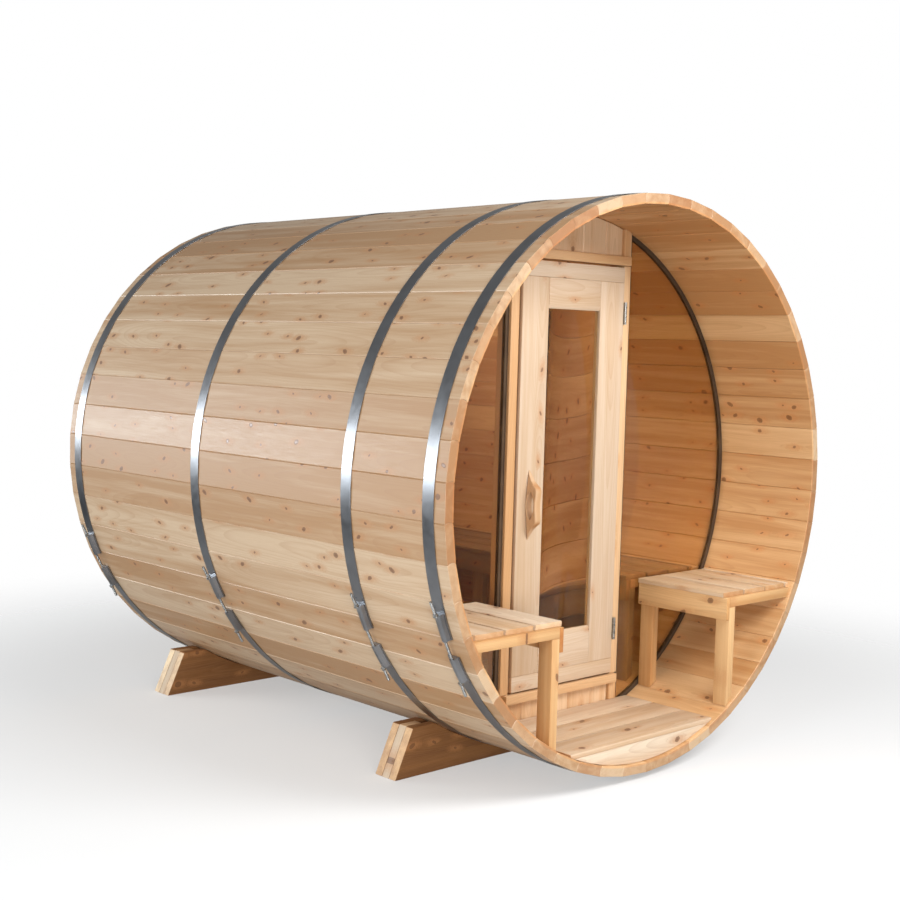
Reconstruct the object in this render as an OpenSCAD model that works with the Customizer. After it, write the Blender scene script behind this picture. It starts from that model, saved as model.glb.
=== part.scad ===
// Barrel sauna: a cask of coved staves with an open porch, a glazed front wall,
// a hinged door and slatted benches, standing on two saddle cradles.
// Y runs along the cask axis, the porch faces -Y and the ground is z = 0.

/* [Cask] */
// Outer diameter of the cask, across the stave corners
barrel_d = 2134; // [1700:1:2600]
// Length of the cask along its axis
barrel_l = 2440; // [1800:1:3200]
// Number of staves round the cask
stave_count = 50; // [32:2:72]
// Thickness of a stave
stave_t = 38; // [25:1:50]
// Open joint between neighbouring staves
stave_gap = 0.4; // [0.2:0.1:1]
// Small chamfer along the stave corners
stave_chamfer = 1.5; // [0.5:0.1:3]

/* [Bands] */
// Width of a tension band
band_w = 54; // [30:1:80]
// Thickness of a tension band
band_t = 1.5; // [1:0.1:3]
// Distance from the end of the cask to the middle of an end band
band_end = 78; // [50:1:140]
// Distance from the porch end to the second band
band_second = 496; // [300:1:700]
// Distance from the porch end to the third band
band_third = 1434; // [1000:1:1700]
// Angle of the tensioners below the horizontal
tensioner_angle = 27; // [15:0.5:40]
// Length of one tensioner lug along the band
lug_l = 96; // [60:1:130]
// Open length of band between the two lugs
lug_gap = 70; // [40:1:110]
// Width of a tensioner lug
lug_w = 50; // [35:1:70]
// Thickness of the lug's foot plate
lug_t = 3; // [2:0.5:6]
// Outer diameter of the lug's rod tube
lug_tube_d = 22; // [18:1:30]
// Diameter of the threaded rod
rod_d = 10; // [6:1:14]
// Length of the threaded rod
rod_l = 376; // [300:1:460]

/* [Cradles] */
// Height of a cradle plank
cradle_h = 184; // [140:1:260]
// Thickness of cradle wood left under the cask
cradle_web = 25; // [15:1:60]
// Length of a cradle on the ground
cradle_l = 1520; // [1200:1:1800]
// How far each cradle end leans in from the ground to its top
cradle_lean = 82; // [20:1:140]
// Thickness of each of a cradle's three layers
cradle_ply = 38; // [25:1:50]
// Length of the block between the cradle planks, at each end
cradle_block = 76; // [40:1:140]
// Distance from the porch end to the front cradle
cradle_front = 554; // [520:1:700]
// Distance from the back end to the rear cradle
cradle_rear = 226; // [140:1:500]

/* [Front wall] */
// Depth of the porch, from the cask's end to the wall
porch_depth = 457; // [330:1:700]
// Clear width between the door posts
doorway_w = 594; // [480:1:720]
// Width of a door post
post_w = 42; // [34:1:90]
// How far the posts stand out from the wall above the floor, between the trims
post_out = 12; // [4:1:20]
// Depth of a door post along the axis
post_depth = 64; // [50:1:100]
// Height of the sill trim above the porch floor
sill_up = 74; // [40:1:160]
// Height of the header and sill trims
trim_h = 36; // [20:1:60]
// How far the trims stand out from the wall
trim_out = 30; // [15:1:40]
// Length of the trims
trim_l = 644; // [600:1:760]
// Width of a vertical wall board
wall_board = 134; // [80:1:180]
// Thickness of the wall boards
wall_t = 38; // [20:1:50]
// Open joint between wall boards
board_gap = 0.6; // [0.3:0.1:1.5]
// Thickness of the fixed glass
glass_t = 8; // [5:1:12]
// Width of the rubber gasket that shows round the glass
gasket_w = 17; // [10:1:30]
// Depth of the rubber gasket along the axis
gasket_depth = 20; // [14:1:40]

/* [Door] */
// Height of the door leaf
door_h = 1641; // [1300:1:1800]
// Thickness of the door leaf
door_t = 38; // [30:1:50]
// Width of the stop on each post that the leaf closes on
door_stop = 12; // [8:1:16]
// How far the leaf stands out from the posts
door_proud = 22; // [10:1:26]
// Gap on the hinge side
door_gap = 5; // [4:0.5:8]
// Gap on the free side and over and under the leaf
door_swing_gap = 7; // [6:0.5:12]
// Width of a stile
stile_w = 142; // [90:1:180]
// Height of the top and bottom rails
rail_h = 60; // [40:1:100]
// Height of the panel over the glass
upper_panel_h = 118; // [60:1:200]
// Height of the panel under the glass
lower_panel_h = 150; // [80:1:260]
// Thickness of the door glass
door_glass_t = 6; // [4:1:10]
// Depth of the glass groove in the door
door_groove = 9; // [5:1:14]
// Height of a hinge
hinge_h = 89; // [60:1:120]
// Diameter of the hinge knuckle
knuckle_d = 12; // [10:1:16]
// Diameter of the hinge pin
pin_d = 6; // [4:1:8]
// Distance from a door end to the middle of its hinge
hinge_inset = 182; // [100:1:300]
// Widest opening angle of the door
door_open = 100; // [60:1:105]

/* [Handle] */
// Height of the handle between its tips
handle_h = 266; // [200:1:320]
// How far the handle stands out from the door
handle_out = 54; // [40:1:70]
// Thickness of the handle
handle_t = 32; // [24:1:40]
// Height of the handle's middle above the cask axis
handle_up = -96; // [-300:1:200]
// Distance from the leaf's free edge to the middle of the handle
handle_in = 62; // [30:1:90]
// Height of the finger hole
finger_h = 108; // [80:1:140]
// Width of the finger hole
finger_w = 38; // [30:1:44]
// Wood left in front of the finger hole
finger_wall = 13; // [8:1:16]

/* [Floor] */
// Height of the floor's top above the bottom inside the cask
floor_up = 97; // [60:1:160]
// Thickness of a floor board
floor_t = 19; // [15:1:30]
// Width of a floor board
floor_board = 143; // [90:1:180]
// Gap between floor boards
floor_gap = 5; // [2:1:10]
// Distance from the cask's end to the first floor board
floor_back = 14; // [5:1:60]
// Thickness of the fascia under the porch floor
fascia_t = 19; // [15:1:38]
// Width of a floor bearer
bearer_w = 38; // [25:1:60]
// Distance from a door post to the middle of the side bearer beside it
bearer_in = 47; // [25:1:120]

/* [Benches] */
// Height of the bench tops above the floor
bench_up = 486; // [400:1:560]
// Distance from the middle of the cask to the bench's inner edge
bench_in = 472; // [420:1:560]
// Width of a bench board
bench_board = 132; // [80:1:150]
// Gap between bench boards
bench_gap = 12; // [5:1:20]
// Thickness of the bench boards
bench_t = 19; // [15:1:38]
// Height of the apron board along the inner edge
apron_h = 89; // [60:1:120]
// Thickness of the apron board
apron_t = 19; // [15:1:30]
// Overhang of the top boards past the apron
bench_over = 5; // [0:1:15]
// Height of the cross rails under the boards
bench_rail_h = 38; // [30:1:64]
// Width of the cross rails and the legs along the axis
bench_rail_w = 64; // [38:1:90]
// Width of a leg across the cask
leg_w = 38; // [30:1:64]
// Distance from the cask's end to the first bench rail
bench_back = 9; // [5:1:60]
// How far the top boards lie behind the rail's face
bench_ledge = 15; // [0:1:30]

/* [Back wall] */
// Distance from the back end of the cask to the back wall
back_inset = 50; // [20:1:120]

/* [Fit] */
// Running gap where one piece seats on another
seat = 0.3; // [0.2:0.1:0.5]
// Gap at the ends of floors, bearers and wall boards
end_gap = 2; // [1:0.5:5]
// Gap between a bench and the walls
bench_clear = 3; // [1:0.5:10]

/* [Hidden] */
$fn = 96;

STAVE_GROUPS = [
    "shell_top_right", "shell_upper_right", "shell_lower_right", "shell_bottom_right",
    "shell_bottom_left", "shell_lower_left", "shell_upper_left", "shell_top_left"];

outer_r = barrel_d / 2;
stave_a = 360 / stave_count;
flat_r = outer_r * cos(stave_a / 2);
inner_r = flat_r - stave_t;
fit_r = inner_r - seat;
axis_z = outer_r + cradle_web;
front_y = -barrel_l / 2;
back_y = barrel_l / 2;
wall_y = front_y + porch_depth;

band_r = outer_r + seat / 2;
band_y = [front_y + band_end, front_y + band_second, front_y + band_third, back_y - band_end];
tensioner_lean = [0, 2, 4, 0.5];
rod_r = band_r + band_t + lug_t + lug_tube_d / 2;
nut_af = rod_d * 1.7;
nut_h = rod_d * 0.8;

door_w = doorway_w - door_gap - door_swing_gap;
door_right = doorway_w / 2 - door_gap;
door_left = door_right - door_w;
door_front = wall_y - door_proud;
floor_z = axis_z - inner_r - stave_gap + floor_up;
sill_top = floor_z + sill_up + trim_h;
door_low = sill_top + door_swing_gap;
door_top = door_low + door_h;
header_low = door_top + door_swing_gap + 1;
light_left = door_left + stile_w;
light_right = door_right - stile_w;
light_low = door_low + rail_h + lower_panel_h;
light_top = door_top - rail_h - upper_panel_h;

plate_t = (door_gap - 1) / 2;
plate_reach = knuckle_d / 2 + 0.5 + door_t - 1;
hinge_x = door_right + door_gap / 2;
hinge_y = door_front - knuckle_d / 2 - 0.5;
hinge_z = [door_low + hinge_inset, door_top - hinge_inset];
knuckle_l = hinge_h / 3;

bench_z = floor_z + bench_up;
room_y0 = wall_y + post_depth;
room_y1 = back_y - back_inset - wall_t;

// Point on the stave polygon's corner circle, angle from the top towards +X
function rim(r, a) = [r * sin(a), r * cos(a)];

// Extrudes an XZ outline along the cask axis from y0 to y1
module along(y0, y1) {
    translate([0, y1, 0]) rotate([90, 0, 0]) linear_extrude(y1 - y0) children();
}

// The hollow inside the staves, drawn in for clearance
module hollow(clear) {
    r = (inner_r - clear) / cos(stave_a / 2);
    translate([0, axis_z]) polygon([for (i = [0 : stave_count - 1]) rim(r, i * stave_a)]);
}

// A round disc that fits inside the staves
module disc(r) {
    translate([0, axis_z]) circle(r = r, $fn = 180);
}

module slab(x0, x1, z0, z1) {
    translate([x0, z0]) square([x1 - x0, z1 - z0]);
}

// Box from corner to corner
module block(x, y, z) {
    translate([x[0], y[0], z[0]]) cube([x[1] - x[0], y[1] - y[0], z[1] - z[0]]);
}

/* ---- cask ---- */

// One stave's section, lying flat with its outer face up
module stave_section() {
    half_out = flat_r * tan(stave_a / 2) - stave_gap / 2;
    half_in = inner_r * tan(stave_a / 2) - stave_gap / 2;
    c = stave_chamfer;
    polygon([
        [-half_in + c, inner_r], [half_in - c, inner_r], [half_in, inner_r + c],
        [half_out, flat_r - c], [half_out - c, flat_r],
        [-half_out + c, flat_r], [-half_out, flat_r - c], [-half_in, inner_r + c]]);
}

module stave(i) {
    along(front_y, back_y)
        translate([0, axis_z]) rotate(-(i + 0.5) * stave_a) stave_section();
}

function group_start(g) = round(g * stave_count / len(STAVE_GROUPS));

module shell_group(g) {
    color("burlywood")
        for (i = [group_start(g) : group_start(g + 1) - 1]) stave(i);
}

/* ---- bands ---- */

// Turns a piece drawn round the top of the ring to an angle below the -X side
module at_side(n) {
    translate([0, band_y[n], axis_z])
        rotate([0, -90 - tensioner_angle - tensioner_lean[n], 0]) children();
}

function arc_deg(l) = l / band_r * 180 / PI;

// One lug: a foot that lies on the band and a tube that carries the rod
module lug(side) {
    mid = side * (lug_gap + lug_l) / 2;
    foot_r = band_r + band_t + seat / 2;
    difference() {
        union() {
            intersection() {
                rotate([90, 0, 0]) cylinder(r = foot_r + lug_t, h = lug_w, center = true, $fn = 180);
                translate([mid, 0, foot_r]) cube([lug_l, lug_w + 2, 30], center = true);
            }
            translate([mid, 0, rod_r]) rotate([0, 90, 0])
                cylinder(d = lug_tube_d, h = lug_l, center = true);
            translate([mid - lug_l / 2, -lug_tube_d / 2, foot_r - 12])
                cube([lug_l, lug_tube_d, rod_r - foot_r + 12]);
        }
        rotate([90, 0, 0]) cylinder(r = foot_r, h = lug_w + 4, center = true, $fn = 180);
        translate([mid, 0, rod_r]) rotate([0, 90, 0])
            cylinder(d = rod_d + 2 * seat, h = lug_l + 2, center = true);
    }
}

// The band is open between the two lugs
module band(n) {
    open_a = arc_deg(lug_gap);
    start_a = 180 + tensioner_angle + tensioner_lean[n] + open_a / 2;
    color("silver") {
        translate([0, band_y[n] + band_w / 2, axis_z]) rotate([90, 0, 0])
            rotate([0, 0, start_a]) rotate_extrude(angle = 360 - open_a, $fn = 180)
                translate([band_r, 0]) square([band_t, band_w]);
        at_side(n) {
            lug(-1);
            lug(1);
        }
    }
}

module tension_rod() {
    nut_x = lug_gap / 2 + lug_l + nut_h / 2 + seat / 2;
    translate([0, 0, rod_r]) rotate([0, 90, 0]) {
        cylinder(d = rod_d, h = rod_l, center = true);
        for (s = [-1, 1]) translate([0, 0, s * nut_x])
            cylinder(d = nut_af / cos(30), h = nut_h, center = true, $fn = 6);
    }
}

module tension_rods() {
    color("gray")
        for (n = [0 : len(band_y) - 1]) at_side(n) tension_rod();
}

/* ---- cradles ---- */

module cradle_outline() {
    difference() {
        polygon([
            [-cradle_l / 2, 0], [cradle_l / 2, 0],
            [cradle_l / 2 - cradle_lean, cradle_h], [-cradle_l / 2 + cradle_lean, cradle_h]]);
        disc(outer_r + seat);
    }
}

// The piece of the outline within a block's length of one end
module cradle_end(side) {
    lean = cradle_lean;
    intersection() {
        cradle_outline();
        polygon([
            [side * cradle_l / 2, 0], [side * (cradle_l / 2 - lean), cradle_h],
            [side * (cradle_l / 2 - lean - cradle_block), cradle_h],
            [side * (cradle_l / 2 - cradle_block), 0]]);
    }
}

// Two planks with a block between them at each end
module cradle(y0) {
    color("peru") {
        along(y0, y0 + cradle_ply) cradle_outline();
        along(y0 + 2 * cradle_ply, y0 + 3 * cradle_ply) cradle_outline();
        for (side = [-1, 1]) along(y0 + cradle_ply, y0 + 2 * cradle_ply) cradle_end(side);
    }
}

/* ---- front wall ---- */

// One post's outline between two heights, trimmed to the staves
module post_face(side, z0, z1) {
    in_x = doorway_w / 2;
    intersection() {
        hollow(seat);
        if (side > 0) slab(in_x, in_x + post_w, z0, z1);
        else slab(-in_x - post_w, -in_x, z0, z1);
    }
}

// A door post, notched for the trims and the floor, with the stop for the leaf
module post(side) {
    in_x = doorway_w / 2;
    low = [floor_z + seat, sill_top - trim_h - seat];
    mid = [sill_top + seat, header_low - seat];
    high = [header_low + trim_h + seat, 2 * axis_z];
    color("tan") {
        along(wall_y, room_y0) post_face(side, 0, 2 * axis_z);
        for (z = [low, mid, high])
            along(wall_y - post_out, wall_y) post_face(side, z[0], z[1]);
        stop_y = door_front + door_t + seat;
        block(
            side > 0 ? [in_x - door_stop, in_x] : [-in_x, -in_x + door_stop],
            [stop_y, room_y0], [sill_top, header_low]);
    }
}

// Upright boards across the doorway's width between two heights
module wall_boards(x0, x1, z0, z1, r, y0, y1) {
    first = floor((x0 - wall_board / 2) / wall_board);
    last = ceil((x1 + wall_board / 2) / wall_board);
    along(y0, y1) for (i = [first : last]) {
        a = max(x0, (i - 0.55) * wall_board) + board_gap / 2;
        b = min(x1, (i + 0.45) * wall_board) - board_gap / 2;
        if (b - a > 4) intersection() {
            disc(r);
            slab(a, b, z0, z1);
        }
    }
}

module boards_over_door() {
    x = doorway_w / 2 - seat;
    color("wheat")
        wall_boards(-x, x, header_low + end_gap, 2 * axis_z, fit_r, wall_y, wall_y + wall_t);
}

module boards_under_door() {
    x = doorway_w / 2 - seat;
    color("wheat")
        wall_boards(-x, x, 0, sill_top - end_gap, fit_r, wall_y, wall_y + wall_t);
}

module trim(z0) {
    color("wheat") block([-trim_l / 2, trim_l / 2], [wall_y - trim_out, wall_y - 0.1], [z0, z0 + trim_h]);
}

// The window opening on one side, between the post and the staves, drawn in
module light(side, inset) {
    edge = doorway_w / 2 + post_w + inset;
    intersection() {
        disc(fit_r - inset);
        if (side > 0) slab(edge, outer_r, 0, 2 * axis_z);
        else slab(-outer_r, -edge, 0, 2 * axis_z);
    }
}

glass_y = wall_y + (gasket_depth - glass_t) / 2;

module glass(side) {
    color([0.45, 0.3, 0.15, 0.6])
        along(glass_y, glass_y + glass_t) light(side, gasket_w / 2 + seat);
}

module gasket(side) {
    color([0.15, 0.13, 0.12]) difference() {
        along(wall_y, wall_y + gasket_depth) light(side, seat);
        along(wall_y - 1, wall_y + gasket_depth + 1) light(side, gasket_w);
        along(glass_y - seat, glass_y + glass_t + seat) light(side, gasket_w / 2);
    }
}

module back_wall() {
    color("wheat")
        wall_boards(-outer_r, outer_r, 0, 2 * axis_z, fit_r, room_y1, room_y1 + wall_t);
}

/* ---- floor ---- */

// Half the length of a floor board, whose ends are bevelled to the staves
floor_half = sqrt(pow(fit_r, 2) - pow(axis_z - floor_z + floor_t / 2, 2));

module floor_row(y0, y1) {
    along(y0, y1) intersection() {
        hollow(seat);
        slab(-floor_half, floor_half, floor_z - floor_t, floor_z);
    }
}

module floor_boards(y0, y1) {
    pitch = floor_board + floor_gap;
    count = floor((y1 - y0 + floor_gap) / pitch);
    left_over = y1 - y0 - count * pitch;
    for (i = [0 : count - 1])
        floor_row(y0 + i * pitch, y0 + i * pitch + floor_board);
    if (left_over > 40)
        floor_row(y0 + count * pitch, y1);
}

module porch_floor() {
    color("tan") floor_boards(front_y + floor_back, wall_y - end_gap);
}

module room_floor() {
    color("tan") floor_boards(room_y0 + end_gap, room_y1 - end_gap);
}

// A segment board that closes the space under the porch floor
module porch_fascia() {
    y0 = front_y + floor_back + 1;
    color("tan") along(y0, y0 + fascia_t) intersection() {
        hollow(seat);
        slab(-floor_half, floor_half, 0, floor_z - floor_t - seat);
    }
}

module floor_bearers() {
    side_x = doorway_w / 2 - bearer_in;
    color("peru")
        for (x = [-side_x, 0, side_x])
            for (span = [
                [front_y + floor_back + fascia_t + end_gap, wall_y - end_gap],
                [wall_y + wall_t + end_gap, room_y1 - end_gap]])
                along(span[0], span[1]) intersection() {
                    hollow(seat);
                    slab(x - bearer_w / 2, x + bearer_w / 2, 0, floor_z - floor_t - seat);
                }
}

/* ---- benches ---- */

// Bench pieces are drawn on the +X side and mirrored for the other
module on_side(side) {
    if (side > 0) children();
    else mirror([1, 0, 0]) children();
}

// Width inside the cask at a height, less the seat gap
function room_at(z) = sqrt(pow(fit_r, 2) - pow(axis_z - z, 2));

module bench_top(side, y0, y1) {
    wall_x = room_at(bench_z - bench_t) - 1;
    pitch = bench_board + bench_gap;
    color("burlywood") on_side(side) {
        for (i = [0 : floor((wall_x - bench_in) / pitch) - 1])
            block([bench_in + i * pitch, bench_in + i * pitch + bench_board], [y0, y1],
                [bench_z - bench_t, bench_z]);
        edge = bench_in + floor((wall_x - bench_in) / pitch) * pitch;
        if (wall_x - edge > 8)
            along(y0, y1) intersection() {
                hollow(seat);
                slab(edge, outer_r, bench_z - bench_t, bench_z);
            }
    }
}

// Apron, cross rails and legs; rails is the list of rail positions
module bench_frame(side, y0, y1, rails) {
    top = bench_z - bench_t - seat;
    apron_x = bench_in + bench_over;
    leg_x = apron_x + apron_t;
    color("burlywood") on_side(side) {
        block([apron_x, leg_x], [y0, y1], [top - apron_h, top]);
        for (y = rails) along(y, y + bench_rail_w) intersection() {
            hollow(seat);
            union() {
                slab(leg_x - 0.1, outer_r, top - bench_rail_h, top);
                slab(leg_x - 0.1, leg_x + leg_w, 0, top);
            }
        }
    }
}

porch_bench_y = [front_y + bench_back, wall_y - bench_clear];
room_bench_y = [room_y0 + bench_clear, room_y1 - bench_clear];
room_rail_mid = (room_bench_y[0] + room_bench_y[1] - bench_rail_w) / 2;

module porch_bench_top(side) {
    bench_top(side, porch_bench_y[0] + bench_ledge, porch_bench_y[1]);
}

module porch_bench_frame(side) {
    bench_frame(side, porch_bench_y[0], porch_bench_y[1],
        [porch_bench_y[0], porch_bench_y[1] - bench_rail_w]);
}

module room_bench_top(side) {
    bench_top(side, room_bench_y[0], room_bench_y[1]);
}

module room_bench_frame(side) {
    bench_frame(side, room_bench_y[0], room_bench_y[1],
        [room_bench_y[0], room_rail_mid, room_bench_y[1] - bench_rail_w]);
}

/* ---- door ---- */

door_y = [door_front, door_front + door_t];
pane_y = [door_front + (door_t - door_glass_t) / 2, door_front + (door_t + door_glass_t) / 2];

// The pane, grown past the light all round and thickened by clear on both faces
module pane(grow, clear) {
    block([light_left - grow, light_right + grow],
        [pane_y[0] - clear, pane_y[1] + clear],
        [light_low - grow, light_top + grow]);
}

module door_stiles() {
    z = [door_low + rail_h + seat, door_top - rail_h - seat];
    color("burlywood") difference() {
        union() {
            block([door_left, light_left], door_y, z);
            block([light_right, door_right], door_y, z);
        }
        pane(door_groove, seat);
    }
}

module door_rails() {
    color("burlywood") {
        block([door_left, door_right], door_y, [door_low, door_low + rail_h]);
        block([door_left, door_right], door_y, [door_top - rail_h, door_top]);
    }
}

module door_panels() {
    x = [light_left + seat, light_right - seat];
    color("wheat") difference() {
        union() {
            block(x, door_y, [door_low + rail_h + seat, light_low]);
            block(x, door_y, [light_top, door_top - rail_h - seat]);
        }
        pane(door_groove, seat);
    }
}

module door_glass() {
    color([0.45, 0.3, 0.15, 0.6]) pane(door_groove - 1, 0);
}

// How far the handle stands out at its middle
handle_waist = handle_out * 0.91;

// A pull with pointed tips; its outline lies in the YZ plane, y from the door
module handle_outline() {
    h = handle_h / 2;
    o = handle_out;
    upper = [[0, h], [o * 0.18, h * 0.86], [o * 0.42, h * 0.7], [o * 0.72, h * 0.58],
        [o * 0.93, h * 0.51], [o, h * 0.42], [o * 0.97, h * 0.28], [handle_waist, h * 0.1]];
    lower = [for (i = [len(upper) - 1 : -1 : 0]) [upper[i][0], -upper[i][1]]];
    polygon(concat(upper, lower));
}

// Two arcs that meet in points above and below
module finger_hole() {
    h = finger_h / 2;
    w = finger_w / 2;
    r = (h * h + w * w) / (2 * w);
    mid = handle_waist - finger_wall - w;
    intersection() {
        translate([mid - r + w, 0]) circle(r = r);
        translate([mid + r - w, 0]) circle(r = r);
    }
}

module door_handle() {
    x = door_left + handle_in;
    color("sienna")
        translate([x + handle_t / 2, door_front - seat, axis_z + handle_up])
            rotate([0, 0, -90]) rotate([90, 0, 0]) linear_extrude(handle_t) difference() {
                handle_outline();
                finger_hole();
            }
}

/* ---- hinges ---- */

// One knuckle round the pin's axis, bored where it turns on the pin
module knuckle(z0, z1, bore) {
    translate([hinge_x, hinge_y, z0]) difference() {
        cylinder(d = knuckle_d, h = z1 - z0);
        if (bore) translate([0, 0, -1]) cylinder(d = pin_d + 2 * seat, h = z1 - z0 + 2);
    }
}

// A plate in the gap beside the leaf, with a neck to each of its knuckles
module hinge_plate(x, depth, z0, spans) {
    block(x, [hinge_y + knuckle_d / 2 + 0.6, hinge_y + depth], [z0, z0 + hinge_h]);
    for (s = spans)
        block(x, [hinge_y + pin_d / 2 + seat + 0.2, hinge_y + knuckle_d / 2 + 0.7], [z0 + s[0], z0 + s[1]]);
}

module hinge_frame_leaves() {
    x = [doorway_w / 2 - plate_t, doorway_w / 2];
    low = [0, knuckle_l - seat];
    high = [2 * knuckle_l + seat, hinge_h];
    color("silver") for (z = hinge_z) {
        z0 = z - hinge_h / 2;
        hinge_plate(x, plate_reach, z0, [low, high]);
        for (s = [low, high]) knuckle(z0 + s[0], z0 + s[1], false);
        translate([hinge_x, hinge_y, z0]) cylinder(d = pin_d, h = hinge_h);
    }
}

module hinge_door_leaves() {
    x = [door_right, door_right + plate_t];
    mid = [knuckle_l, 2 * knuckle_l];
    color("silver") for (z = hinge_z) {
        z0 = z - hinge_h / 2;
        hinge_plate(x, plate_reach - 5, z0, [mid]);
        knuckle(z0 + mid[0], z0 + mid[1], true);
    }
}

/* ---- nodes ---- */

for (g = [0 : len(STAVE_GROUPS) - 1])
    shell_group(g);
for (n = [0 : 3])
    band(n);
tension_rods();
cradle(front_y + cradle_front);
cradle(back_y - cradle_rear - 3 * cradle_ply);
post(-1);  // post_left
post(1);  // post_right
boards_over_door();
boards_under_door();
trim(header_low);  // header_trim
trim(sill_top - trim_h);  // sill_trim
glass(-1);  // glass_left
glass(1);  // glass_right
gasket(-1);  // gasket_left
gasket(1);  // gasket_right
back_wall();
porch_floor();
porch_fascia();
room_floor();
floor_bearers();
porch_bench_top(-1);  // porch_bench_left_top
porch_bench_frame(-1);  // porch_bench_left_frame
porch_bench_top(1);  // porch_bench_right_top
porch_bench_frame(1);  // porch_bench_right_frame
room_bench_top(-1);  // room_bench_left_top
room_bench_frame(-1);  // room_bench_left_frame
room_bench_top(1);  // room_bench_right_top
room_bench_frame(1);  // room_bench_right_frame
hinge_frame_leaves();
door_stiles();
door_rails();
door_panels();
door_glass();
door_handle();
hinge_door_leaves();
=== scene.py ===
import math
import random

import bmesh
import bpy
from mathutils import Matrix, Vector


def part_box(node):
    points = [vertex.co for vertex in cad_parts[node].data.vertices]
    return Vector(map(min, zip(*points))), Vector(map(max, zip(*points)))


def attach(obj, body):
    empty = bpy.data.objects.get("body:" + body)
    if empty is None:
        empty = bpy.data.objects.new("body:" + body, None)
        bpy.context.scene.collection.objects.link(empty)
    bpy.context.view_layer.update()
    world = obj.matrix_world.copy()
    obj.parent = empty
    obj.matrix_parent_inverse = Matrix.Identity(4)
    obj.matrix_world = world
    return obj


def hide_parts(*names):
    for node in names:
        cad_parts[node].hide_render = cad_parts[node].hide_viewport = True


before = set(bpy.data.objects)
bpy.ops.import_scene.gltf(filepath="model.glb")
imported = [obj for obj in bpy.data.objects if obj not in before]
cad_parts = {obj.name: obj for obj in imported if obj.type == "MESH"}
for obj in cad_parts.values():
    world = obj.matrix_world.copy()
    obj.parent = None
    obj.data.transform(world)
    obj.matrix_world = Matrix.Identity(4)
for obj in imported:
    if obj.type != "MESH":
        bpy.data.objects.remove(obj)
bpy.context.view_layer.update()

X = Vector((1, 0, 0))
Y = Vector((0, 1, 0))
Z = Vector((0, 0, 1))
CASK = "cask"
DOOR = "door"

# ---- sizes, worked out from the frame ----

SHELL = ["shell_top_right", "shell_upper_right", "shell_lower_right", "shell_bottom_right",
         "shell_bottom_left", "shell_lower_left", "shell_upper_left", "shell_top_left"]
STAVES = 50
STAVE_T = 0.038
STAVE_STEP = 2 * math.pi / STAVES
back_lo, back_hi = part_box("back_wall")
AXIS_Z = (back_lo[2] + back_hi[2]) / 2
FRONT_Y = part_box(SHELL[0])[0][1]
BACK_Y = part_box(SHELL[0])[1][1]
FLAT_R = max(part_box(name)[1][0] for name in SHELL)
CORNER_R = FLAT_R / math.cos(STAVE_STEP / 2)
INNER_R = FLAT_R - STAVE_T
FIT_GAP = 0.0004
FIT_R = INNER_R - FIT_GAP
FLOOR_FIT_R = INNER_R - 0.0006
SADDLE_R = CORNER_R + 0.0006
WALL_BOARD = 0.134
WALL_BOARD_GAP = 0.0006
DOOR_STOP = 0.012
FLOOR_BOARD = 0.143
FLOOR_GAP = 0.005
FLOOR_SLANT = 0.022
FLOOR_SLANT_H = 0.0095
BEARER_W = 0.038
CRADLE_LEAN = 0.082
CRADLE_BLOCK = 0.076
WALL_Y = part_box("gasket_left")[0][1]
AXIS = Vector((0, 0, AXIS_Z))


# ---- mesh helpers ----

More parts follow.
